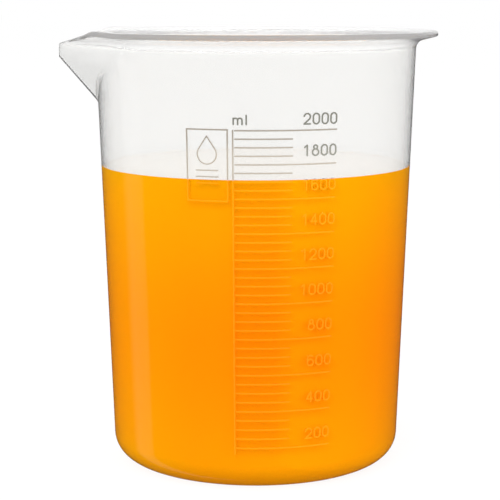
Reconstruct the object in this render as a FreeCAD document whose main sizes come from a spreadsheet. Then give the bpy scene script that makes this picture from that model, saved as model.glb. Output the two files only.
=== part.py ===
import FreeCAD, Part
import Sketcher
import math
import os

# A translucent two-litre low-form measuring beaker, moulded in one piece with a flared rim and a
# pouring spout. A scale stands proud of the front of its wall.
# Frame: the beaker's axis is Z and its foot stands on z = 0. The scale faces -Y, the spout points to -X.

Vector = FreeCAD.Vector
doc = FreeCAD.newDocument("beaker")

# ---------------------------------------------------------------- driving dimensions, mm and degrees

SIZES = {
    # vessel
    "overall_height": 192.5,
    "foot_radius": 64.1,          # outer wall, carried down to the foot plane
    "wall_draft": 0.037,          # radius gained per mm of height
    "wall_thickness": 2.0,
    "floor_thickness": 2.5,
    "foot_corner_radius": 11.5,
    "recess_radius": 48.0,        # shallow hollow under the floor, so that the beaker stands on a ring
    "recess_depth": 0.8,
    "gate_mark_radius": 2.5,
    "gate_mark_height": 0.4,
    # rim flange
    "flange_radius": 80.5,
    "flange_edge_height": 2.3,
    "flange_slope": 0.25,         # fall per mm towards the wall
    "flange_fillet": 4.2,
    "lip_crest_radius": 1.0,
    "lip_under_radius": 0.9,
    "lip_width": 1.2,             # from the flange's edge to where its inner face starts to fall
    # spout
    "spout_reach": 87.4,
    "keel_foot_height": 160.6,    # where the keel leaves the wall
    "keel_slope": 1.16,           # rise per mm outwards
    "keel_radius": 2.5,
    "channel_radius": 1.5,
    "facet_angle": 35.0,          # plan angle between a facet's normal and the spout's centre line
    "lip_break": 69.5,            # distance from the axis at which the lip starts to fall
    "lip_fall_angle": 17.3,
    "lip_cut_length": 40.0,       # size of the cutting box that trims the lip
    "lip_cut_width": 120.0,
    # raised scale
    "mark_relief": 0.25,
    "line_width": 0.6,
    "stroke_width": 0.65,
    "spine_angle": -7.9,          # plan angles are measured from the front, positive to +X
    "line_start_angle": -7.4,
    "long_line_angle": 28.3,
    "short_line_angle": 12.4,
    "spine_foot_drop": 3.0,
    "numeral_height": 4.9,
    "numeral_width": 3.3,
    "numeral_pitch": 3.95,
    "numeral_gap": 3.2,
    "top_numeral_gap": 2.2,
    "small_letter_height": 3.2,
    "arch_radius": 0.9,           # of the letter m, to the middle of its stroke
    "m_angle": 1.7,               # plan angles of the letters' middles, from the spine
    "l_angle": 4.55,
    # maker's panel with a plain symbol
    "panel_left_angle": -24.3,
    "panel_right_angle": -9.5,
    "panel_height": 30.0,
    "symbol_stroke": 0.5,
    "drop_radius": 4.1,
    "drop_height": 11.5,
    "drop_margin": 3.0,           # from the panel's top to the drop's tip
    "symbol_line_reach": 4.6,     # half length of the level lines under the drop
    "symbol_line_pitch": 2.6,
}

# Sizes that follow from those: the corners of the two turned sections, before rounding.
DERIVED = {
    "draft_factor": "1 - flange_slope * wall_draft",
    "edge_foot_z": "overall_height - flange_edge_height",
    "under_z": "(edge_foot_z - flange_slope * (flange_radius - foot_radius)) / draft_factor",
    "under_r": "foot_radius + wall_draft * under_z",
    "crest_r": "flange_radius - lip_width",
    "bore_r": "foot_radius - wall_thickness",
    "floor_r": "bore_r + wall_draft * floor_thickness",
    "floor_corner_radius": "foot_corner_radius - wall_thickness",
    "throat_z": "(overall_height - flange_slope * (crest_r - bore_r)) / draft_factor",
    "throat_r": "bore_r + wall_draft * throat_z",
    "throat_radius": "flange_fillet + wall_thickness",
    "clear_r": "crest_r + 1",
    "clear_z": "overall_height + 4",
}

sheet = doc.addObject("Spreadsheet::Sheet", "Sizes")
contents = {**SIZES, **{alias: "=" + formula for alias, formula in DERIVED.items()}}
for row, (alias, content) in enumerate(contents.items(), start=1):
    sheet.set(f"A{row}", alias)
    sheet.setAlias(f"B{row}", alias)
    sheet.set(f"B{row}", str(content))
doc.recompute()


def size(alias):
    """A driving dimension, read back from the sheet."""
    return float(getattr(sheet, alias))


HEIGHT = size("overall_height")
WALL = size("wall_thickness")
EPS = 0.15                        # how far a joining shape is buried in its neighbour
LIP_CUT_HEIGHT = 20
CORNER_FILL = 1 - math.pi / 4     # share of a square that its rounded corner leaves out
CORNER_CENTRE = 0.2234            # distance of that share's middle from the sides, in radii
SKIN_FOOT, SKIN_TOP = 8, 165      # height range of the skin that the raised marks are cut from
SKIN_REACH = 40                   # plan angle that the skin covers on each side of the front
CUT_SIZE = 200                    # of the slabs that slice the skin into lines
CUT_DEPTH = 8                     # of the blocks that are pushed through the skin


def wall_radius(z):
    """Outer radius of the plain wall."""
    return size("foot_radius") + size("wall_draft") * z


def solve(function, low, high):
    """Root of a rising function."""
    for _ in range(60):
        middle = (low + high) / 2
        low, high = (middle, high) if function(middle) < 0 else (low, middle)
    return low


# ---------------------------------------------------------------- the moulding: bodies of revolution

def tangent_arc(before, corner, after, radius):
    """The arc that rounds a corner: its centre, its two tangent points and its middle point."""
    back, ahead = (before - corner).normalize(), (after - corner).normalize()
    half = back.getAngle(ahead) / 2
    bisector = (back + ahead).normalize()
    centre = corner + bisector * (radius / math.sin(half))
    reach = radius / math.tan(half)
    return corner + back * reach, centre - bisector * radius, corner + ahead * reach


def turned_solid(name, corners):
    """
    A solid turned from a section in the XZ plane. Each corner names its distance from the axis and its
    height in the sheet, None for zero, and where it is rounded its radius.
    """
    sketch = doc.addObject("Sketcher::SketchObject", name + "_section")
    sketch.Placement.Rotation = FreeCAD.Rotation(Vector(1, 0, 0), 90)
    points = [Vector(*(size(alias) if alias else 0 for alias in corner[:2]), 0) for corner in corners]
    count = len(points)
    starts, ends, arcs = list(points), list(points), {}
    for i, corner in enumerate(corners):
        if len(corner) == 3:
            ends[i], middle, starts[i] = tangent_arc(points[i - 1], points[i], points[(i + 1) % count],
                                                     size(corner[2]))
            arcs[i] = Part.Arc(ends[i], middle, starts[i])
    lines = [sketch.addGeometry(Part.LineSegment(starts[i], ends[(i + 1) % count]), False)
             for i in range(count)]

    def bind(constraint, alias):
        sketch.setExpression(f"Constraints[{sketch.addConstraint(constraint)}]", f"Sizes.{alias}")

    for i, corner in enumerate(corners):
        before, after = lines[i - 1], lines[i]
        if i in arcs:
            arc = sketch.addGeometry(arcs[i], False)
            flip = sketch.getPoint(arc, 1).distanceToPoint(ends[i]) > 1e-6
            sketch.addConstraint(Sketcher.Constraint("Tangent", before, 2, arc, 2 if flip else 1))
            sketch.addConstraint(Sketcher.Constraint("Tangent", after, 1, arc, 1 if flip else 2))
            bind(Sketcher.Constraint("Radius", arc, size(corner[2])), corner[2])
            point = sketch.addGeometry(Part.Point(points[i]), True)
            sketch.addConstraint(Sketcher.Constraint("PointOnObject", point, 1, before))
            sketch.addConstraint(Sketcher.Constraint("PointOnObject", point, 1, after))
        else:
            point = after
            sketch.addConstraint(Sketcher.Constraint("Coincident", before, 2, after, 1))
        for kind, alias, value, axis in (("DistanceX", corner[0], points[i].x, -2),
                                         ("DistanceY", corner[1], points[i].y, -1)):
            if alias:
                bind(Sketcher.Constraint(kind, -1, 1, point, 1, value), alias)
            else:
                sketch.addConstraint(Sketcher.Constraint("PointOnObject", point, 1, axis))
    turned = doc.addObject("Part::Revolution", name)
    turned.Source = sketch
    turned.Axis = Vector(0, 0, 1)
    turned.Angle = 360
    turned.Solid = True
    doc.recompute()
    return turned


outer = turned_solid("outer_blank", [
    (None, None),
    ("foot_radius", None, "foot_corner_radius"),
    ("under_r", "under_z", "flange_fillet"),
    ("flange_radius", "edge_foot_z", "lip_under_radius"),
    ("flange_radius", "overall_height", "lip_crest_radius"),
    (None, "overall_height"),
])
cavity = turned_solid("cavity", [
    (None, "floor_thickness"),
    ("floor_r", "floor_thickness", "floor_corner_radius"),
    ("throat_r", "throat_z", "throat_radius"),
    ("crest_r", "overall_height"),
    ("clear_r", "clear_z"),
    (None, "clear_z"),
])


# ---------------------------------------------------------------- the moulding: spout

def turned_radius(z, inset):
    """Radius of the turned surface at height z: the outer one, or the inner one for the wall's inset."""
    slope, draft = size("flange_slope"), size("wall_draft")
    fillet = size("flange_fillet") + inset
    reach = size("crest_r") if inset else size("flange_radius")
    slope_zero = HEIGHT - (0 if inset else size("flange_edge_height")) - slope * reach
    plain = wall_radius(z) - inset
    centre_z = slope_zero - fillet * math.hypot(1, slope)
    centre_r = (wall_radius(centre_z) - inset + fillet * math.hypot(1, draft)) / (1 - slope * draft)
    centre_z += slope * centre_r
    if z < centre_z:
        return plain
    if z < centre_z + fillet / math.hypot(1, slope):
        return centre_r - math.sqrt(fillet ** 2 - (z - centre_z) ** 2)
    return min(reach, (z - slope_zero) / slope)


def spout_section(z, inset):
    """Wire of the spout's plan outline at height z: two facets that meet the turned wall, and a nose."""
    facet = math.radians(size("facet_angle"))
    radius = size("keel_radius") if inset == 0 else size("channel_radius")
    keel = wall_radius(size("keel_foot_height")) + (z - size("keel_foot_height")) / size("keel_slope")
    if inset:
        keel -= inset * math.sqrt(1 + size("keel_slope") ** 2) / size("keel_slope")
    apex = keel + radius * (1 / math.cos(facet) - 1)
    wall = turned_radius(z, inset) - EPS
    normal = facet if apex * math.cos(facet) < wall else math.acos(wall / apex)
    reach = min(keel, size("spout_reach")) if inset == 0 else keel
    nose = (apex - reach) * math.cos(normal) / (1 - math.cos(normal))
    centre = -(reach - nose)
    foot = Vector(-apex * math.cos(normal) ** 2, apex * math.cos(normal) * math.sin(normal), z)
    tangent = Vector(centre - nose * math.cos(normal), nose * math.sin(normal), z)
    mirrored = [Vector(p.x, -p.y, z) for p in (tangent, foot)]
    return Part.Wire([
        Part.LineSegment(foot, tangent).toShape(),
        Part.Arc(tangent, Vector(-reach, 0, z), mirrored[0]).toShape(),
        Part.LineSegment(*mirrored).toShape(),
        Part.LineSegment(mirrored[1], foot).toShape(),
    ])


def spout_solid(name, heights, inset):
    """Ruled loft through the spout's sections."""
    feature = doc.addObject("Part::Feature", name)
    feature.Shape = Part.makeLoft([spout_section(z, inset) for z in heights], True, True)
    return feature


# Heights that follow the keel below, and the flange's profile above.
LOFT_HEIGHTS = [155, 165, 172, 178, 181, 184, 186, 187.5, 188.6, 189.4, 190.1, 191.2, 192.5]
spout_outside = spout_solid("spout_outside", LOFT_HEIGHTS, 0)
spout_channel = spout_solid("spout_channel", LOFT_HEIGHTS + [197], WALL)

blank = doc.addObject("Part::Fuse", "blank_with_spout")
blank.Base, blank.Tool = outer, spout_outside

# The lip over the spout falls away in one slanting plane.
lip_cut = doc.addObject("Part::Box", "lip_cut")
lip_cut.Height = LIP_CUT_HEIGHT
lip_cut.setExpression("Length", "Sizes.lip_cut_length")
lip_cut.setExpression("Width", "Sizes.lip_cut_width")
lip_cut.Placement.Rotation = FreeCAD.Rotation(Vector(0, 1, 0), -size("lip_fall_angle"))
lip_cut.setExpression("Placement.Base.x",
                      "-Sizes.lip_break - Sizes.lip_cut_length * cos(Sizes.lip_fall_angle * 1deg)")
lip_cut.setExpression("Placement.Base.y", "-Sizes.lip_cut_width / 2")
lip_cut.setExpression("Placement.Base.z",
                      "Sizes.overall_height - Sizes.lip_cut_length * sin(Sizes.lip_fall_angle * 1deg)")

recess = doc.addObject("Part::Cylinder", "recess")
recess.setExpression("Radius", "Sizes.recess_radius")
recess.setExpression("Height", "Sizes.recess_depth")

gate_mark = doc.addObject("Part::Cylinder", "gate_mark")
gate_mark.setExpression("Radius", "Sizes.gate_mark_radius")
gate_mark.setExpression("Height", "Sizes.gate_mark_height")
gate_mark.setExpression("Placement.Base.z", "Sizes.recess_depth - Sizes.gate_mark_height")

recess_ring = doc.addObject("Part::Cut", "recess_ring")
recess_ring.Base, recess_ring.Tool = recess, gate_mark

moulding = blank
for step, tool in (("lip_trimmed", lip_cut), ("hollowed", cavity), ("channelled", spout_channel),
                   ("beaker_body", recess_ring)):
    cut = doc.addObject("Part::Cut", step)
    cut.Base, cut.Tool = moulding, tool
    doc.recompute()
    removed = moulding.Shape.Volume - cut.Shape.Volume
    if removed <= 0:
        raise RuntimeError(f"{step} removes nothing")
    moulding = cut
body = moulding


# ---------------------------------------------------------------- raised scale: where the levels lie

def bore_volume(level):
    """Volume in ml held up to this height, with the rounded corner round the floor taken off."""
    floor = size("floor_thickness")
    low, high = wall_radius(floor) - WALL, wall_radius(level) - WALL
    frustum = math.pi / 3 * (level - floor) * (low * low + low * high + high * high)
    corner = size("foot_corner_radius") - WALL
    corner_area = CORNER_FILL * corner ** 2
    corner_centre = low - CORNER_CENTRE * corner
    return (frustum - 2 * math.pi * corner_centre * corner_area) / 1000


def level_of(volume):
    return solve(lambda level: bore_volume(level) - volume, size("foot_corner_radius"), HEIGHT)


LONG_VOLUMES = range(200, 2001, 200)
SHORT_VOLUMES = [v for v in range(200, 2001, 50) if v % 200]


# ---------------------------------------------------------------- raised scale: lines

def wall_skin(name, first_angle, last_angle):
    """A skin on the outside of the wall, as thick as the marks stand proud, between two plan angles."""
    cones = []
    for part, relief in (("inside", "0"), ("outside", "Sizes.mark_relief")):
        cone = doc.addObject("Part::Cone", f"{name}_{part}")
        cone.setExpression("Radius1", f"Sizes.foot_radius + Sizes.wall_draft * {SKIN_FOOT} + {relief}")
        cone.setExpression("Radius2", f"Sizes.foot_radius + Sizes.wall_draft * {SKIN_TOP} + {relief}")
        cone.Height = SKIN_TOP - SKIN_FOOT
        cone.Placement.Base.z = SKIN_FOOT
        cones.append(cone)
    sector = cones[1]
    sector.setExpression("Angle", f"{last_angle} - ({first_angle})")
    sector.setExpression("Placement.Rotation.Angle", f"{first_angle} - 90")
    skin = doc.addObject("Part::Cut", name)
    skin.Base, skin.Tool = sector, cones[0]
    return skin


def line_marks(name, volumes, last_angle):
    """One thin raised line for each volume."""
    skin = wall_skin(name + "_skin", "Sizes.line_start_angle", last_angle)
    slabs = []
    for volume in volumes:
        slab = doc.addObject("Part::Box", f"{name}_slab_{volume}")
        slab.Length, slab.Width = CUT_SIZE, CUT_SIZE
        slab.setExpression("Height", "Sizes.line_width")
        slab.Placement.Base = Vector(-CUT_SIZE / 2, -CUT_SIZE / 2, level_of(volume) - size("line_width") / 2)
        slabs.append(slab)
    layers = doc.addObject("Part::Compound", name + "_layers")
    layers.Links = slabs
    marks = doc.addObject("Part::Common", name)
    marks.Base, marks.Tool = skin, layers
    return marks


long_lines = line_marks("scale_lines_200ml", LONG_VOLUMES, "Sizes.long_line_angle")
short_lines = line_marks("scale_lines_50ml", SHORT_VOLUMES, "Sizes.short_line_angle")


# ---------------------------------------------------------------- raised scale: strokes of the figures

def bar(start, end, width):
    """Straight stroke with round ends, as a face."""
    a, b = Vector(*start, 0), Vector(*end, 0)
    along = (b - a).normalize()
    side = Vector(-along.y, along.x, 0) * (width / 2)
    tip = along * (width / 2)
    return Part.Face(Part.Wire([
        Part.LineSegment(a + side, b + side).toShape(),
        Part.Arc(b + side, b + tip, b - side).toShape(),
        Part.LineSegment(b - side, a - side).toShape(),
        Part.Arc(a - side, a - tip, a + side).toShape(),
    ]))


def bow(centre, radius, start, end, width):
    """Stroke along an arc, in degrees, with round ends."""
    points = []
    for angle in (start, (start + end) / 2, end):
        turn = math.radians(angle)
        points.append(Vector(centre[0] + radius * math.cos(turn), centre[1] + radius * math.sin(turn), 0))
    return Part.Face(Part.Wire([Part.Arc(*points).toShape()]).makeOffset2D(width / 2))


def ring(centre, radius, width):
    """Stroke round a full circle."""
    middle = Vector(*centre, 0)
    disc, hole = (Part.Face(Part.Wire([Part.makeCircle(radius + side * width / 2, middle)]))
                  for side in (1, -1))
    return disc.cut(hole)


STROKE = size("stroke_width")
TALL = size("numeral_height") - STROKE        # middle of the bottom stroke to middle of the top one
WIDE = size("numeral_width") - STROKE
BOWL = WIDE / 2


def on_circle(centre, radius, angle):
    turn = math.radians(angle)
    return centre[0] + radius * math.cos(turn), centre[1] + radius * math.sin(turn)


TOP = (BOWL, TALL - BOWL)                     # centre of a figure's top bow
BASE = (BOWL, BOWL)                           # centre of its bottom bow
SMALL_BOWL = (TALL - 2 * BOWL) / 2

# Each figure stands on the middle line of its bottom stroke, from 0 to WIDE across and 0 to TALL up.
FIGURES = {
    "0": [bow(TOP, BOWL, 0, 180, STROKE), bow(BASE, BOWL, 180, 360, STROKE),
          bar((0, BASE[1]), (0, TOP[1]), STROKE), bar((WIDE, BASE[1]), (WIDE, TOP[1]), STROKE)],
    "1": [bar((0.62 * WIDE, 0), (0.62 * WIDE, TALL), STROKE),
          bar((0.62 * WIDE, TALL), (0.2 * WIDE, 0.8 * TALL), STROKE)],
    "2": [bow(TOP, BOWL, -35, 170, STROKE), bar(on_circle(TOP, BOWL, -35), (0, 0), STROKE),
          bar((0, 0), (WIDE, 0), STROKE)],
    "4": [bar((0.74 * WIDE, 0), (0.74 * WIDE, TALL), STROKE),
          bar((0.74 * WIDE, TALL), (0, 0.28 * TALL), STROKE),
          bar((0, 0.28 * TALL), (WIDE, 0.28 * TALL), STROKE)],
    "6": [ring(BASE, BOWL, STROKE), bar((0, BASE[1]), (0, TOP[1]), STROKE),
          bow(TOP, BOWL, 35, 180, STROKE)],
    "8": [ring(BASE, BOWL, STROKE), ring((BOWL, TALL - SMALL_BOWL), SMALL_BOWL, STROKE)],
}

LETTER_HEIGHT = 0.87 * TALL
ARCH = size("arch_radius")
X_HEIGHT = size("small_letter_height") - STROKE
LETTERS = {
    "m": [bar((0, 0), (0, X_HEIGHT), STROKE)] + [
        stroke for left in (0, 2 * ARCH) for stroke in (
            bow((left + ARCH, X_HEIGHT - ARCH), ARCH, 0, 180, STROKE),
            bar((left + 2 * ARCH, 0), (left + 2 * ARCH, X_HEIGHT - ARCH), STROKE))],
    "l": [bar((0, 0), (0, LETTER_HEIGHT), STROKE)],
}


def raise_on_wall(faces, angle, base_height, skin):
    """Projects flat strokes onto the wall at a plan angle and keeps what lies in the skin."""
    low = wall_radius(base_height) - CUT_DEPTH / 2
    solids = [face.extrude(Vector(0, 0, CUT_DEPTH)) for face in faces]
    block = solids[0].fuse(solids[1:]) if len(solids) > 1 else solids[0]
    upright = FreeCAD.Rotation(Vector(1, 0, 0), 90)
    turned = FreeCAD.Rotation(Vector(0, 0, 1), angle).multiply(upright)
    start = FreeCAD.Rotation(Vector(0, 0, 1), angle).multVec(Vector(0, -low, base_height))
    block.Placement = FreeCAD.Placement(start, turned)
    return block.common(skin)


def shifted(faces, across, up=0.0):
    moved = []
    for face in faces:
        copy = face.copy()
        copy.translate(Vector(across, up, 0))
        moved.append(copy)
    return moved


figure_skin = wall_skin("figure_skin", -SKIN_REACH, SKIN_REACH)
doc.recompute()


def mark_feature(name, shapes):
    """A node made of marks that the wall's skin has shaped."""
    solids = [solid for shape in shapes for solid in shape.Solids]
    feature = doc.addObject("Part::Feature", name)
    feature.Shape = Part.makeCompound(solids)
    return feature


def degrees_across(length, height):
    """Plan angle that a length round the wall takes up at this height."""
    return math.degrees(length / wall_radius(height))


def numeral(volume):
    """The volume's figures, set to end where the long line ends."""
    gap = size("top_numeral_gap") if volume == max(LONG_VOLUMES) else size("numeral_gap")
    base = level_of(volume) + gap + STROKE / 2
    text = str(volume)
    shapes = []
    for place, figure in enumerate(reversed(text)):
        middle = size("numeral_width") / 2 + place * size("numeral_pitch")
        angle = size("long_line_angle") - degrees_across(middle, base)
        shapes.append(raise_on_wall(shifted(FIGURES[figure], -WIDE / 2), angle, base, figure_skin.Shape))
    return mark_feature(f"numeral_{volume}", shapes)


numerals = [numeral(volume) for volume in LONG_VOLUMES]

unit_base = level_of(2000) + size("top_numeral_gap") + STROKE / 2
unit_mark = mark_feature("unit_mark_ml", [
    raise_on_wall(shifted(LETTERS["m"], -2 * ARCH), size("spine_angle") + size("m_angle"), unit_base,
                  figure_skin.Shape),
    raise_on_wall(LETTERS["l"], size("spine_angle") + size("l_angle"), unit_base, figure_skin.Shape),
])


# ---------------------------------------------------------------- raised scale: spine, panel, symbol

def upright_line(name, angle, low, high, width):
    """A raised line up the wall."""
    depth = CUT_DEPTH + wall_radius(high) - wall_radius(low)
    corner = Vector(-width / 2, -wall_radius(high) - CUT_DEPTH / 2, low)
    block = Part.makeBox(width, depth, high - low, corner)
    block.rotate(Vector(0, 0, 0), Vector(0, 0, 1), angle)
    return block.common(figure_skin.Shape)


def level_band(first_angle, last_angle, low, high):
    """A raised band round the wall between two plan angles."""
    slab = Part.makeCylinder(CUT_SIZE / 2, high - low, Vector(0, 0, low), Vector(0, 0, 1),
                             last_angle - first_angle)
    slab.rotate(Vector(0, 0, 0), Vector(0, 0, 1), first_angle - 90)
    return slab.common(figure_skin.Shape)


top_level = level_of(2000)
line = size("line_width")
spine_half = degrees_across(line / 2, top_level)
spine = mark_feature("scale_spine", [
    upright_line("spine", size("spine_angle"), level_of(200) - size("spine_foot_drop"),
                 top_level + line / 2, line).fuse(
        level_band(size("spine_angle"), size("line_start_angle"), top_level - line / 2,
                   top_level + line / 2)).removeSplitter(),
])

panel_top = top_level + line
panel_foot = panel_top - size("panel_height")
left, right = size("panel_left_angle"), size("panel_right_angle")
frame_shape = upright_line("left", left + spine_half, panel_foot, panel_top, line)
for piece in (upright_line("right", right - spine_half, panel_foot, panel_top, line),
              level_band(left + spine_half, right - spine_half, panel_top - line, panel_top),
              level_band(left + spine_half, right - spine_half, panel_foot, panel_foot + line)):
    frame_shape = frame_shape.fuse(piece)
panel_frame = mark_feature("panel_frame", [frame_shape.removeSplitter()])

# A plain drop over three level lines.
thin = size("symbol_stroke")
radius, tip = size("drop_radius"), size("drop_height")
lean = math.degrees(math.asin(radius / (tip - radius)))
drop_foot = panel_top - size("drop_margin") - tip
drop = [bow((0, radius), radius, 180 - lean, 360 + lean, thin)]
for side in (180 - lean, lean):
    drop.append(bar(on_circle((0, radius), radius, side), (0, tip), thin))
for step in (1, 2, 3):
    height, half = -step * size("symbol_line_pitch"), size("symbol_line_reach")
    drop.append(bar((-half, height), (half, height), thin))
panel_symbol = mark_feature("panel_symbol", [
    raise_on_wall(drop, (left + right) / 2, drop_foot, figure_skin.Shape)])


# ---------------------------------------------------------------- checks and files

doc.recompute()
nodes = [body, long_lines, short_lines, spine, unit_mark, panel_frame, panel_symbol] + numerals
for item in doc.Objects:
    if "Invalid" in item.State or "Error" in item.State:
        raise RuntimeError(f"{item.Name} failed: {item.State}")
for node in nodes:
    if node.Shape.isNull() or not node.Shape.isValid() or node.Shape.Volume <= 0:
        raise RuntimeError(f"{node.Label} has no valid solid")

os.makedirs("parts", exist_ok=True)
for node in nodes:
    node.Shape.exportStep(f"parts/{node.Label}.step")
    print(f"{node.Label:20s} solids {len(node.Shape.Solids):3d}  volume {node.Shape.Volume:10.2f} mm3")
print("levels", {volume: round(level_of(volume), 2) for volume in LONG_VOLUMES})
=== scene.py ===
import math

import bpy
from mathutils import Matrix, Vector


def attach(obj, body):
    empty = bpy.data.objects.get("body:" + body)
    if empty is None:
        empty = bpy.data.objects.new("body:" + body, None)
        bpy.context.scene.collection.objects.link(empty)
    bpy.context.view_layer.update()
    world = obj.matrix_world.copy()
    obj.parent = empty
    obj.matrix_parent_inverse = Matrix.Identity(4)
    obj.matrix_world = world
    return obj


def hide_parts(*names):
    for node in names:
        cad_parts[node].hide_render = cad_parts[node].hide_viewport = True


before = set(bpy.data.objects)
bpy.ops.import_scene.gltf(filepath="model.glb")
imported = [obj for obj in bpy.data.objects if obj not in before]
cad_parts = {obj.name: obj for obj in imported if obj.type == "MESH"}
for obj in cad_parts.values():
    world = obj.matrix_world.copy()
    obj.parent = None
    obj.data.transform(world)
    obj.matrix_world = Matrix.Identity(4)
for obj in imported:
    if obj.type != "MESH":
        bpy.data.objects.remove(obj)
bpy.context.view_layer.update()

# Looks of a two-litre measuring beaker: the clear moulding, its scale, the orange drink in it and a pale
# studio.
#
# Lengths of the beaker are in millimetres in the CAD frame: Z is the axis, the foot stands on Z = 0, the
# scale faces -Y and the spout points to -X. Plan angles are measured from the spout. Lengths of the studio
# are in metres.

MM = 0.001

# Body of revolution, the same sizes as in the CAD sheet.
HEIGHT = 192.5
FOOT_RADIUS = 64.1
WALL_DRAFT = 0.037
WALL = 2.0
FLOOR = 2.5
FOOT_CORNER = 11.5
RECESS_RADIUS = 48.0
RECESS_DEPTH = 0.8
GATE_RADIUS = 2.5
GATE_HEIGHT = 0.4
FLANGE_RADIUS = 80.5
FLANGE_EDGE = 2.3
FLANGE_SLOPE = 0.25
FLANGE_FILLET = 4.2
LIP_WIDTH = 1.2  # from the flange's edge to the top of its inner slope
UNDER_RADIUS = 0.9

# Spout.
SPOUT_REACH = 87.4
KEEL_FOOT = 160.6
KEEL_SLOPE = 1.16
KEEL_RADIUS = 2.5
CHANNEL_RADIUS = 1.5
FACET = math.radians(35)
LIP_BREAK = 69.5
LIP_FALL = math.tan(math.radians(17.3))
LIP_LIFT = 0.55  # how much the lip swells upwards beside the spout
LIFT_FOOT = 178.0
LIFT_ANGLE = math.radians(33)
LIFT_HALF_WIDTH = math.radians(14)
CREASE = 1.2  # width over which the spout's sides melt into the wall

# Liquid.
LIQUID_LEVEL = 133.05
MENISCUS_RISE = 0.2
MENISCUS_REACH = 1.0
WETTING = 0.05  # how far the liquid reaches into the plastic, so that no film of air is left between them
CONTACT = LIQUID_LEVEL + MENISCUS_RISE

# Plastic. Pairs of heights are where a change starts and ends.
PLASTIC_IOR = 1.49
WALL_TINT, RIM_TINT = (0.945, 0.945, 0.937, 1), (0.90, 0.90, 0.895, 1)
RIM_TINT_HEIGHTS = (186.0, 190.0)
DRY_CLEARNESS = 0.97  # share of light that passes unscattered above the liquid
DRY_HEIGHTS = (133.0, 137.0)
RIM_MILK = 0.15  # further share that the thick rim scatters
RIM_MILK_HEIGHTS = (182.0, 190.5)
PLASTIC_ROUGHNESS = (0.05, 0.12)
BODY_GREY, BODY_DENSITY = (0.30, 0.31, 0.36, 1), 7

# Liquid colour with painted light: its red is full, it has no blue, and these are its greens near the foot,
# half way and at the surface, where the cloud in it is thin and where it is thick. The higher greens at the
# foot and the surface are painted light.
THIN_DRINK, THICK_DRINK = (0.39, 0.32, 0.42), (0.41, 0.34, 0.44)
# Heights over which the drink is painted brighter, as painted light, towards its surface and towards its
# foot.
PAINTED_TOP_LIGHT_HEIGHTS, PAINTED_FOOT_LIGHT_HEIGHTS = (65.0, 140.0), (60.0, -10.0)
PAINTED_LIGHT_ORANGE, PAINTED_LIGHT_SHARE = (1, 0.75, 0, 1), 0.12  # painted light: the drink's left half is painted brighter and yellower
PAINTED_LIGHT_REACH = (-20.0, -50.0)
SURFACE_GLOSS_FACING = (0.55, 0.88)  # from square on to grazing
SURFACE_GLOSS = (0.03, 0.95)
GLOSS_TINT, GLOSS_ROUGHNESS = (1, 1, 0.99, 1), 0.03
DRINK_ROUGHNESS = (0.02, 0.05)

# Marks: dry colour, and greens behind the liquid, painted as the drink's colour and painted light seen
# through them, in the same order as above.
FIGURES = ((0.14, 0.14, 0.12, 1), (0.24, 0.193, 0.25))
LINES = ((0.24, 0.215, 0.18, 1), (0.25, 0.195, 0.255))
WORN, NEAR_LIQUID_LIGHTNESS = 1.2, 1.5  # brightness of the speckle, and of the marks near the liquid
NEAR_LIQUID_HEIGHTS = (152.0, 143.0)
LEVEL_BLUR = 0.2
SPECKLE, SPECKLE_SHARE = (1, 0.4, 0.01, 1), 0.1  # behind the liquid
MARK_ROUGHNESS, MARK_SPECULAR = (0.35, 0.5), 0.1

# Studio.
SOFT_LIGHT = 1.08
ROOM_DARK, ROOM_WALL = 0.03, 0.8
ROOM_WALL_DEPTH, ROOM_WALL_RISE = (0.3, 0.8), (-0.03, 0.0)  # along Y and Z of the direction
STRIP = (90.5, 93, 107, 118)  # bearings in degrees from -Y towards -X: start, full, full, end
STRIP_STRENGTH = 0.3
STAGE_RADIUS, STAGE_HEIGHT = 12, -0.0002
STAGE_GLOW, PAPER_DARK, PAPER_PALE = 0.88, (0.90, 0.90, 0.90, 1), (0.94, 0.94, 0.94, 1)
AIM = (0, 0, 0.1)
SOFTBOXES = {  # place, size, power in watts
    "key_softbox": ((-0.7, -1.6, 1.5), (1.4, 1.4), 27),
    "fill_softbox": ((1.5, -0.7, 0.5), (1.2, 1.4), 23),
    "side_softbox": ((-1.6, 0.1, 0.5), (1.2, 1.4), 14),
}
CAMERA_PLACE, CAMERA_PITCH, CAMERA_LENS = (-0.00254, -0.7316, 0.20971), 9.01, 117.68


def wall_radius(z):
    return FOOT_RADIUS + WALL_DRAFT * z


def turned_radius(z, inset):
    """Radius of the turned body at height z: the outer face with inset 0, the inner face with inset WALL."""
    fillet = FLANGE_FILLET + inset
    reach = FLANGE_RADIUS - (LIP_WIDTH if inset else 0)
    slant = math.hypot(1, FLANGE_SLOPE)
    slope_zero = HEIGHT - (0 if inset else FLANGE_EDGE) - FLANGE_SLOPE * reach
    centre_z = slope_zero - fillet * slant
    centre_r = wall_radius(centre_z) - inset + fillet * math.hypot(1, WALL_DRAFT)
    centre_r /= 1 - FLANGE_SLOPE * WALL_DRAFT
    centre_z += FLANGE_SLOPE * centre_r
    if z < centre_z:
        return wall_radius(z) - inset
    if z < centre_z + fillet / slant:
        return centre_r - math.sqrt(fillet**2 - (z - centre_z) ** 2)
    edge_r = reach - UNDER_RADIUS
    edge_z = slope_zero + FLANGE_SLOPE * edge_r + UNDER_RADIUS * slant
    if inset or z < edge_z - UNDER_RADIUS / slant:
        return min(reach, (z - slope_zero) / FLANGE_SLOPE)
    return edge_r + math.sqrt(UNDER_RADIUS**2 - max(edge_z - z, 0) ** 2)


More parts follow.
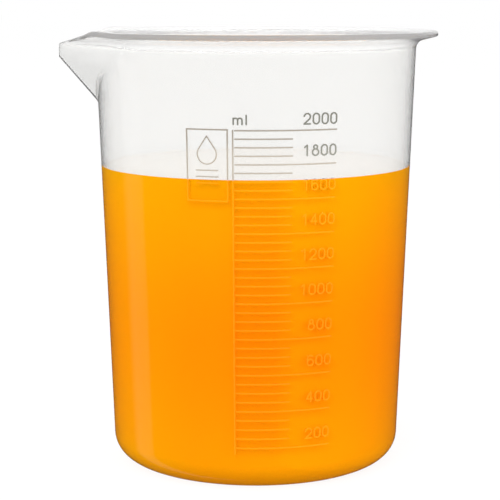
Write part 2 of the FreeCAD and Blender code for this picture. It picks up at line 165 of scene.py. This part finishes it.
def spout_radius(z, angle, inset):
    """Radius of the spout's side or nose at this height and plan angle, or 0 where it is within the wall."""
    corner = CHANNEL_RADIUS if inset else KEEL_RADIUS
    keel = wall_radius(KEEL_FOOT) + (z - KEEL_FOOT) / KEEL_SLOPE
    keel -= inset * math.hypot(1, KEEL_SLOPE) / KEEL_SLOPE
    apex = keel + corner * (1 / math.cos(FACET) - 1)
    wall = turned_radius(z, inset)
    if apex <= wall:
        return 0
    normal = FACET if apex * math.cos(FACET) < wall else math.acos(wall / apex)
    reach = keel if inset else min(keel, SPOUT_REACH)
    nose = (apex - reach) * math.cos(normal) / (1 - math.cos(normal))
    centre = reach - nose
    turn = abs(angle)
    if turn < math.atan2(nose * math.sin(normal), centre + nose * math.cos(normal)):
        return centre * math.cos(turn) + math.sqrt(nose**2 - (centre * math.sin(turn)) ** 2)
    return apex * math.cos(normal) / math.cos(turn - normal) if turn < normal else 0


def face_radius(z, angle, inset):
    """Radius of the finished outer or inner face: wall and spout with a soft crease between them."""
    wall, spout = turned_radius(z, inset), spout_radius(z, angle, inset)
    overlap = max(CREASE - abs(wall - spout), 0)
    return max(wall, spout) + overlap**2 / (4 * CREASE)


def lip_height(radius, angle):
    """Height of the plane lip, which falls away over the spout."""
    return min(HEIGHT, HEIGHT - LIP_FALL * (radius * math.cos(angle) - LIP_BREAK))


def lip_lift(angle):
    """How much the lip swells upwards at this plan angle."""
    off = min(abs(abs(angle) - LIFT_ANGLE) / LIFT_HALF_WIDTH, 1)
    return LIP_LIFT * (0.5 + 0.5 * math.cos(math.pi * off))


def solve(rises, low, high):
    """The point between low and high where rises turns from negative to positive."""
    for _ in range(40):
        middle = (low + high) / 2
        if rises(middle) < 0:
            low = middle
        else:
            high = middle
    return high


def below(angle, inset, top, length):
    """The height at which a face, followed down from top, has run this length."""
    edge = face_radius(top, angle, inset)

    def left_over(z):
        return length - math.hypot(face_radius(z, angle, inset) - edge, z - top)

    return solve(left_over, top - length, top)


def spread(low, high, count):
    """Count heights from low, left out, to high, taken in."""
    return [low + (high - low) * (k + 1) / count for k in range(count)]


def pressed(levels, top, least=0.06):
    """The levels, pushed down where needed to stay in order below top."""
    kept = [top]
    for level in reversed(levels):
        kept.append(min(level, kept[-1] - least))
    return kept[::-1]


def arc(centre_r, centre_z, radius, start, end, count):
    """Points of an arc in the radial plane, from start to end in degrees, both taken in."""
    turns = [math.radians(start + (end - start) * k / (count - 1)) for k in range(count)]
    return [(centre_r + radius * math.cos(t), centre_z + radius * math.sin(t)) for t in turns]


DRAFT_ANGLE = math.degrees(math.atan(WALL_DRAFT))


def foot_arc(radius, floor, inset, count):
    """The rounding between a floor at this height and the wall's outer or inner face."""
    rise = floor + radius
    centre = wall_radius(rise) - inset - radius * math.hypot(1, WALL_DRAFT)
    return arc(centre, rise, radius, -90, -DRAFT_ANGLE, count)


# Radius and height of the rows under the base: gate mark, recess and the ring that the beaker stands on.
UNDERSIDE = [
    (0, GATE_HEIGHT), (1.2, GATE_HEIGHT), (2.25, GATE_HEIGHT), (2.42, 0.44), (GATE_RADIUS, 0.54),
    (GATE_RADIUS, 0.72), (2.56, 0.79), (2.7, RECESS_DEPTH), (6, RECESS_DEPTH), (20, RECESS_DEPTH),
    (36, RECESS_DEPTH), (47, RECESS_DEPTH), (47.75, RECESS_DEPTH), (47.94, 0.74), (RECESS_RADIUS, 0.6),
    (RECESS_RADIUS, 0.25), (48.07, 0.08), (48.25, 0), (50.5, 0),
]
WALL_FOOT, WALL_HEAD, WALL_ROWS = 11.7, 154.0, 24  # plain wall between the foot's arc and the spout
OUTER_FOOT_ROWS, INNER_FOOT_ROWS = 14, 12
FLOOR_RADII = (50, 36, 20, 8, 0)
# Heights with a row of their own, and the number of rows from each to the next one.
OUTER_LEVELS = ((154.0, 30), (184.68, 10), (188.6, 5), (190.03, 9), (190.9, 3))
INNER_LEVELS = ((154.0, 30), (185.3, 12), (191.09, 5))
LIP_STEPS = 9
OUTER_LIP_RUN, INNER_LIP_RUN = 1.0, 0.5


def upper_rows(angle, inset, levels, top):
    """Points of a face from the foot of the spout up to top, with rows kept on the flange's own edges."""
    marks = pressed([level for level, _ in levels], top)
    heights = [z for (_, count), low, high in zip(levels, marks, marks[1:]) for z in spread(low, high, count)]
    return [(face_radius(z, angle, inset), z) for z in heights]


def body_section(angle):
    """The line round the plastic at this plan angle, from the middle of the base to that of the floor."""
    def radius(z, inset):
        return face_radius(z, angle, inset)

    outer_top = solve(lambda z: z - lip_height(radius(z, 0), angle), WALL_HEAD, HEIGHT)
    inner_top = solve(lambda z: z - lip_height(radius(z, WALL), angle), WALL_HEAD, HEIGHT)
    if radius(inner_top, WALL) > radius(outer_top, 0):  # the channel runs out through the spout's nose
        outer_top = inner_top = solve(lambda z: radius(z, WALL) - radius(z, 0), WALL_HEAD, outer_top)
    outer_end = below(angle, 0, outer_top, OUTER_LIP_RUN)
    inner_end = below(angle, WALL, inner_top, INNER_LIP_RUN)
    corners = ((outer_end, 0), (outer_top, 0), (inner_top, WALL), (inner_end, WALL))
    control = [(radius(z, inset), z) for z, inset in corners]
    lip = []
    for k in range(1, LIP_STEPS):
        t = k / LIP_STEPS
        weights = ((1 - t) ** 3, 3 * t * (1 - t) ** 2, 3 * t**2 * (1 - t), t**3)
        lip.append(tuple(sum(w * p[i] for w, p in zip(weights, control)) for i in (0, 1)))
    wall = spread(WALL_FOOT, WALL_HEAD, WALL_ROWS)
    outer = UNDERSIDE + foot_arc(FOOT_CORNER, 0, 0, OUTER_FOOT_ROWS) + [(wall_radius(z), z) for z in wall]
    inner = foot_arc(FOOT_CORNER - WALL, FLOOR, WALL, INNER_FOOT_ROWS)
    inner += [(wall_radius(z) - WALL, z) for z in wall]
    inner += upper_rows(angle, WALL, INNER_LEVELS, inner_end)
    floor = [(r, FLOOR) for r in FLOOR_RADII]
    section = outer + upper_rows(angle, 0, OUTER_LEVELS, outer_end) + lip + inner[::-1] + floor
    lift, span = lip_lift(angle), HEIGHT - LIFT_FOOT
    return [(r, z + lift * min(max((z - LIFT_FOOT) / span, 0), 1)) for r, z in section]


BODY_STEPS = ((2.1, 0.15), (12, 0.5), (45, 1), (180, 2))
EVEN_STEPS = ((180, 2),)
BASE_RADII = (0, 18, 36, 48)
SIDE_ROWS, SIDE_HEAD = 22, 3  # even rows up the liquid's side, and how far under its edge they end
EDGE_ROWS = (1.2, 0.4, 0.1, 0.02)  # depths of the rows under its edge
SURFACE_ROWS = (0.0, 0.03, 0.15, 0.35, 0.6, 0.95, 1.4, 2.0, 2.8, 4.0, 6.0, 10.0, 20.0, 36.0, 52.0)


def drink_section():
    """The line round the liquid, from the middle of its base to the middle of its surface."""
    edge = wall_radius(CONTACT) - WALL + WETTING
    section = [(r, FLOOR - WETTING) for r in BASE_RADII]
    section += foot_arc(FOOT_CORNER - WALL + WETTING, FLOOR - WETTING, WALL - WETTING, INNER_FOOT_ROWS)
    sides = spread(WALL_FOOT, CONTACT - SIDE_HEAD, SIDE_ROWS) + [CONTACT - depth for depth in EDGE_ROWS]
    section += [(wall_radius(z) - WALL + WETTING, z) for z in sides]
    for d in SURFACE_ROWS:
        section.append((edge - d, LIQUID_LEVEL + MENISCUS_RISE * math.exp(-d / MENISCUS_REACH)))
    return section + [(0, LIQUID_LEVEL)]


def mesh_from_sections(name, angles, sections):
    """A closed mesh with one ring per row of the sections and one vertex where a row is on the axis."""
    vertices, rings = [], []
    for row in range(len(sections[0])):
        on_axis = sections[0][row][0] == 0
        used = list(zip(angles, sections))[: 1 if on_axis else None]
        first = len(vertices)
        for angle, section in used:
            radius, z = section[row]
            vertices.append((-radius * math.cos(angle) * MM, -radius * math.sin(angle) * MM, z * MM))
        rings.append([first] * len(angles) if on_axis else list(range(first, first + len(angles))))
    faces = []
    for low, high in zip(rings, rings[1:]):
        for k in range(len(angles)):
            n = (k + 1) % len(angles)
            faces.append(tuple(dict.fromkeys((low[k], low[n], high[n], high[k]))))
    mesh = bpy.data.meshes.new(name)
    mesh.from_pydata(vertices, [], faces)
    mesh.validate()
    mesh.shade_smooth()
    piece = bpy.data.objects.new(name, mesh)
    bpy.context.scene.collection.objects.link(piece)
    return piece


def plan_angles(steps):
    """Angles all round in radians. Steps are (last angle, step) in degrees, from the spout to the back."""
    half, last = [], 0
    for end, step in steps:
        count = round((end - last) / step)
        half += [last + (end - last) * (k + 1) / count for k in range(count)]
        last = end
    return [math.radians(a) for a in [0, *half, *[-a for a in reversed(half[:-1])]]]


# ---------------------------------------------------------------- materials


def new_material(name):
    material = bpy.data.materials.new(name)
    material.use_nodes = True
    tree = material.node_tree
    shader = next(n for n in tree.nodes if n.type == "BSDF_PRINCIPLED")
    output = next(n for n in tree.nodes if n.type == "OUTPUT_MATERIAL")
    return material, tree, shader, output


def feed(tree, socket, value):
    """Links a value that is a socket, or sets a plain one."""
    if isinstance(value, bpy.types.NodeSocket):
        tree.links.new(value, socket)
    else:
        socket.default_value = value


def node(tree, kind, **inputs):
    """A new node with these inputs. Spaces in their names are underscores."""
    made = tree.nodes.new(kind)
    for key, value in inputs.items():
        feed(tree, made.inputs[key.replace("_", " ")], value)
    return made


def calculated(tree, operation, *values):
    made = tree.nodes.new("ShaderNodeMath")
    made.operation = operation
    for socket, value in zip(made.inputs, values):
        feed(tree, socket, value)
    return made.outputs[0]


def noise(tree, scale, detail, stretch=(1, 1, 1)):
    """Noise over the piece's own coordinates in metres. Scale is in waves a metre."""
    place = node(tree, "ShaderNodeTexCoord")
    mapping = node(tree, "ShaderNodeMapping", Vector=place.outputs["Object"], Scale=stretch)
    vector = mapping.outputs["Vector"]
    return node(tree, "ShaderNodeTexNoise", Vector=vector, Scale=scale, Detail=detail).outputs["Fac"]


def ramp(tree, value, low, high):
    """Maps a value from low to high smoothly onto 0 to 1."""
    made = node(tree, "ShaderNodeMapRange", Value=value, From_Min=low, From_Max=high)
    made.interpolation_type = "SMOOTHSTEP"
    return made.outputs["Result"]


def scaled(tree, value, low, high):
    """Maps a value from 0 to 1 onto low to high."""
    return node(tree, "ShaderNodeMapRange", Value=value, To_Min=low, To_Max=high).outputs["Result"]


def along(tree, axis, ends):
    """0 to 1 between two places in millimetres on an axis of the piece."""
    place = node(tree, "ShaderNodeTexCoord")
    value = node(tree, "ShaderNodeSeparateXYZ", Vector=place.outputs["Object"]).outputs[axis]
    return ramp(tree, value, ends[0] * MM, ends[1] * MM)


def mixed(tree, factor, first, second):
    made = tree.nodes.new("ShaderNodeMix")
    made.data_type = "RGBA"
    for socket, value in ((0, factor), (6, first), (7, second)):
        feed(tree, made.inputs[socket], value)
    return made.outputs[2]


def mixed_shader(tree, factor, first, second):
    made = tree.nodes.new("ShaderNodeMixShader")
    for socket, value in zip(made.inputs, (factor, first, second)):
        feed(tree, socket, value)
    return made.outputs[0]


def bump(tree, height, strength, distance):
    made = node(tree, "ShaderNodeBump", Height=height, Strength=strength, Distance=distance)
    return made.outputs["Normal"]


def plastic_material():
    """Clear polypropylene: haze that varies over the wall, faint flow marks and a weak grey body colour."""
    material, tree, shader, output = new_material("clear_polypropylene")
    shader.inputs["IOR"].default_value = PLASTIC_IOR
    tint = mixed(tree, along(tree, "Z", RIM_TINT_HEIGHTS), WALL_TINT, RIM_TINT)
    tree.links.new(tint, shader.inputs["Base Color"])
    wall = scaled(tree, along(tree, "Z", DRY_HEIGHTS), 1, DRY_CLEARNESS)
    milk = scaled(tree, along(tree, "Z", RIM_MILK_HEIGHTS), 0, RIM_MILK)
    tree.links.new(calculated(tree, "SUBTRACT", wall, milk), shader.inputs["Transmission Weight"])
    haze = noise(tree, scale=45, detail=4, stretch=(1, 1, 0.35))
    tree.links.new(scaled(tree, haze, *PLASTIC_ROUGHNESS), shader.inputs["Roughness"])
    flow = noise(tree, scale=90, detail=2, stretch=(1, 1, 0.12))
    tree.links.new(bump(tree, flow, strength=0.05, distance=0.0004), shader.inputs["Normal"])
    grey = node(tree, "ShaderNodeVolumeAbsorption", Color=BODY_GREY, Density=BODY_DENSITY)
    tree.links.new(grey.outputs[0], output.inputs["Volume"])
    return material


def drink_colour_and_painted_light(tree, greens):
    """Orange that is deepest half way down, with painted light that makes it brighter towards the surface and
    a little towards the foot.
    """
    low, middle, high = ((1, green, 0, 1) for green in greens)
    body = mixed(tree, along(tree, "Z", PAINTED_TOP_LIGHT_HEIGHTS), middle, high)
    return mixed(tree, along(tree, "Z", PAINTED_FOOT_LIGHT_HEIGHTS), body, low)


def liquid_material(name, wet):
    """Orange drink: a cloudy body of slightly uneven colour, with painted light that makes it brighter
    towards the surface, the foot and its left half. The free surface is wet and mirrors the room.
    The sides touch the plastic and mirror nothing."""
    material, tree, shader, output = new_material(name)
    cloud = noise(tree, scale=18, detail=3)
    colour = mixed(tree, cloud, drink_colour_and_painted_light(tree, THIN_DRINK), drink_colour_and_painted_light(tree, THICK_DRINK))
    # Painted light: the drink's left half is painted brighter, standing in for light falling from the left.
    colour = mixed(tree, scaled(tree, along(tree, "X", PAINTED_LIGHT_REACH), 0, PAINTED_LIGHT_SHARE), colour, PAINTED_LIGHT_ORANGE)
    tree.links.new(colour, shader.inputs["Base Color"])
    tree.links.new(scaled(tree, cloud, *DRINK_ROUGHNESS), shader.inputs["Roughness"])
    if wet:
        gloss = node(tree, "ShaderNodeBsdfGlossy", Color=GLOSS_TINT, Roughness=GLOSS_ROUGHNESS)
        facing = node(tree, "ShaderNodeLayerWeight", Blend=0.5).outputs["Facing"]
        share = scaled(tree, ramp(tree, facing, *SURFACE_GLOSS_FACING), *SURFACE_GLOSS)
        surface = mixed_shader(tree, share, shader.outputs[0], gloss.outputs[0])
        tree.links.new(surface, output.inputs["Surface"])
    else:
        shader.inputs["Specular IOR Level"].default_value = 0
    return material


def brighter(colour, times):
    return [times * c for c in colour[:3]] + [1]


def mark_material(name, dry, greens):
    """Raised scale marks: dull where the wall is clear and, over the drink, painted nearly in the drink's
    colour with its painted light, standing in for the drink that shows through them.
    """
    material, tree, shader, _ = new_material(name)
    speckle = noise(tree, scale=2600, detail=2)
    worn = mixed(tree, speckle, dry, brighter(dry, WORN))
    # The marks are made lighter towards the liquid's level.
    worn = mixed(tree, along(tree, "Z", NEAR_LIQUID_HEIGHTS), worn, brighter(dry, NEAR_LIQUID_LIGHTNESS))
    # Painted light: below the liquid level the marks take the drink's colour with its painted brightening,
    # standing in for the drink that shows through them.
    behind_liquid_painted_light = mixed(tree, scaled(tree, speckle, 0, SPECKLE_SHARE), drink_colour_and_painted_light(tree, greens), SPECKLE)
    under = along(tree, "Z", (CONTACT + LEVEL_BLUR, CONTACT - LEVEL_BLUR))
    tree.links.new(mixed(tree, under, worn, behind_liquid_painted_light), shader.inputs["Base Color"])
    tree.links.new(scaled(tree, speckle, *MARK_ROUGHNESS), shader.inputs["Roughness"])
    tree.links.new(bump(tree, speckle, strength=0.2, distance=0.00003), shader.inputs["Normal"])
    shader.inputs["Specular IOR Level"].default_value = MARK_SPECULAR
    return material


def floor_material():
    """Pale paper that glows, so that it stays white with only a faint shadow under the beaker."""
    material, tree, shader, output = new_material("pale_floor")
    grain = mixed(tree, noise(tree, scale=900, detail=2), PAPER_DARK, PAPER_PALE)
    tree.links.new(grain, shader.inputs["Base Color"])
    shader.inputs["Roughness"].default_value = 0.9
    shader.inputs["Specular IOR Level"].default_value = 0
    glow = node(tree, "ShaderNodeEmission", Color=(1, 1, 1, 1), Strength=1)
    lit = mixed_shader(tree, STAGE_GLOW, shader.outputs[0], glow.outputs[0])
    tree.links.new(lit, output.inputs["Surface"])
    return material


# ---------------------------------------------------------------- studio


def mirrored_room(tree):
    """What the beaker mirrors: a dim room, pale above and behind it, with one tall softbox to the left."""
    place = node(tree, "ShaderNodeTexCoord")
    x, y, z = node(tree, "ShaderNodeSeparateXYZ", Vector=place.outputs["Generated"]).outputs
    behind, above = ramp(tree, y, *ROOM_WALL_DEPTH), ramp(tree, z, *ROOM_WALL_RISE)
    room = scaled(tree, calculated(tree, "MULTIPLY", behind, above), ROOM_DARK, ROOM_WALL)
    left, front = (calculated(tree, "MULTIPLY", value, -1) for value in (x, y))
    bearing = calculated(tree, "ARCTAN2", left, front)
    start, full, last, end = (math.radians(angle) for angle in STRIP)
    strip = calculated(tree, "MULTIPLY", ramp(tree, bearing, start, full), ramp(tree, bearing, end, last))
    level = calculated(tree, "MULTIPLY_ADD", strip, STRIP_STRENGTH, room)
    return node(tree, "ShaderNodeBackground", Color=(1, 1, 1, 1), Strength=level).outputs[0]


def studio_world():
    """White to look at, evenly soft as light, and a dim room in mirrored rays."""
    world = bpy.data.worlds.new("studio")
    bpy.context.scene.world = world
    world.use_nodes = True
    tree = world.node_tree
    output = next(n for n in tree.nodes if n.type == "OUTPUT_WORLD")
    white = next(n for n in tree.nodes if n.type == "BACKGROUND")
    white.inputs["Color"].default_value = (1, 1, 1, 1)
    white.inputs["Strength"].default_value = 1
    soft = node(tree, "ShaderNodeBackground", Color=(1, 1, 1, 1), Strength=SOFT_LIGHT).outputs[0]
    path = node(tree, "ShaderNodeLightPath").outputs
    # A ray blurred on its way through the plastic counts as glossy too, so transmitted rays are taken off.
    reflected = calculated(tree, "SUBTRACT", path["Is Glossy Ray"], path["Is Transmission Ray"])
    reflected = calculated(tree, "MAXIMUM", reflected, 0)
    sky = mixed_shader(tree, path["Is Diffuse Ray"], white.outputs[0], soft)
    sky = mixed_shader(tree, reflected, sky, mirrored_room(tree))
    tree.links.new(sky, output.inputs["Surface"])


def softbox(name, place, size, power):
    light = bpy.data.lights.new(name, "AREA")
    light.shape = "RECTANGLE"
    light.size, light.size_y = size
    light.energy = power
    lamp = bpy.data.objects.new(name, light)
    lamp.location = place
    lamp.rotation_euler = (Vector(AIM) - Vector(place)).to_track_quat("-Z", "Y").to_euler()
    lamp.visible_camera = False
    lamp.visible_glossy = False
    lamp.visible_transmission = False
    bpy.context.scene.collection.objects.link(lamp)


def camera(place, pitch, lens):
    """The scene's camera, looking along +Y and down by pitch degrees."""
    data = bpy.data.cameras.new("camera")
    data.lens = lens
    data.sensor_width = 36
    view = bpy.data.objects.new("camera", data)
    view.location = place
    view.rotation_euler = (math.radians(90 - pitch), 0, 0)
    bpy.context.scene.collection.objects.link(view)
    bpy.context.scene.camera = view


# ---------------------------------------------------------------- build

angles = plan_angles(BODY_STEPS)
body = mesh_from_sections("beaker_moulding", angles, [body_section(a) for a in angles])
body.data.materials.append(plastic_material())
body.visible_shadow = False
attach(body, "root")
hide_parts("beaker_body")

even = plan_angles(EVEN_STEPS)
liquid = mesh_from_sections("orange_drink", even, [drink_section()] * len(even))
liquid.data.materials.append(liquid_material("orange_drink", wet=False))
liquid.data.materials.append(liquid_material("orange_drink_surface", wet=True))
for face in liquid.data.polygons:
    face.material_index = int(face.center.z > CONTACT * MM or face.normal.z > 0.1)
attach(liquid, "root")

figures = mark_material("raised_figures", *FIGURES)
lines = mark_material("raised_lines", *LINES)
for name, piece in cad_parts.items():
    if name != "beaker_body":
        for place in piece.material_slots:
            place.material = figures if name.startswith(("numeral", "unit")) else lines

bpy.ops.mesh.primitive_circle_add(
    vertices=96, radius=STAGE_RADIUS, fill_type="NGON", location=(0, 0, STAGE_HEIGHT)
)
floor = bpy.context.object
floor.name = "floor"
floor.data.materials.append(floor_material())
floor.visible_glossy = False

studio_world()
for name, (place, size, power) in SOFTBOXES.items():
    softbox(name, place, size, power)
camera(CAMERA_PLACE, CAMERA_PITCH, CAMERA_LENS)
bpy.context.scene.view_settings.view_transform = "Standard"
